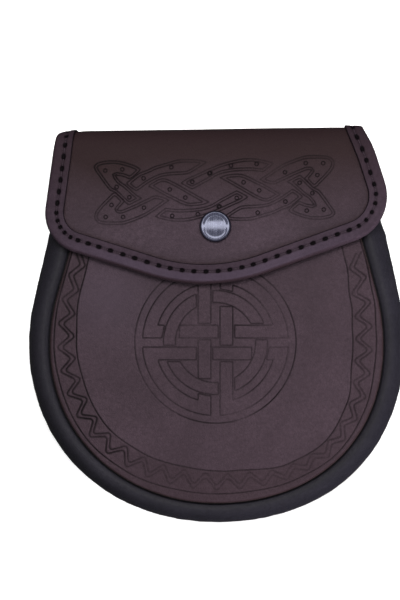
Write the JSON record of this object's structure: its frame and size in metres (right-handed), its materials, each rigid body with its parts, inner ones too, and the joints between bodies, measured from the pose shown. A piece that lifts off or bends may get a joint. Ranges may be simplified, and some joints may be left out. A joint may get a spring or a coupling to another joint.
{
  "type": "sporran pouch",
  "caption": "Leather sporran pouch with a rounded tooled front, soft side gusset and a bound, stitched V-shaped flap closed by a press fastener.",
  "frame": {"origin": "under the middle of the pouch's box, on the surface that it lies on", "axes": "+X to the right of someone who looks at the front, +Y to the pouch's top, +Z out of its front"},
  "size_m": [0.2014, 0.2131, 0.0505],
  "materials": {
    "tooled_leather": "dark plum-brown grain leather, semi-matt, tooled",
    "flap_leather": "dark plum-brown grain leather, semi-matt, tooled",
    "binding_leather": "thin dark plum leather strip, semi-matt",
    "gusset_leather": "soft black leather, fine grain, satin",
    "snap_metal": "gunmetal plating, brushed face",
    "ring_metal": "nickel plated"
  },
  "bodies": {
    "root": {"front_panel": "tooled_leather", "back_panel": "tooled_leather", "gusset": "gusset_leather", "flap": "flap_leather", "flap_binding": "binding_leather", "snap_cap": "snap_metal", "snap_stud": "snap_metal", "hanger_tab_left": "tooled_leather", "hanger_tab_right": "tooled_leather", "hanger_ring_left": "ring_metal", "hanger_ring_right": "ring_metal"}
  },
  "joints": []
}
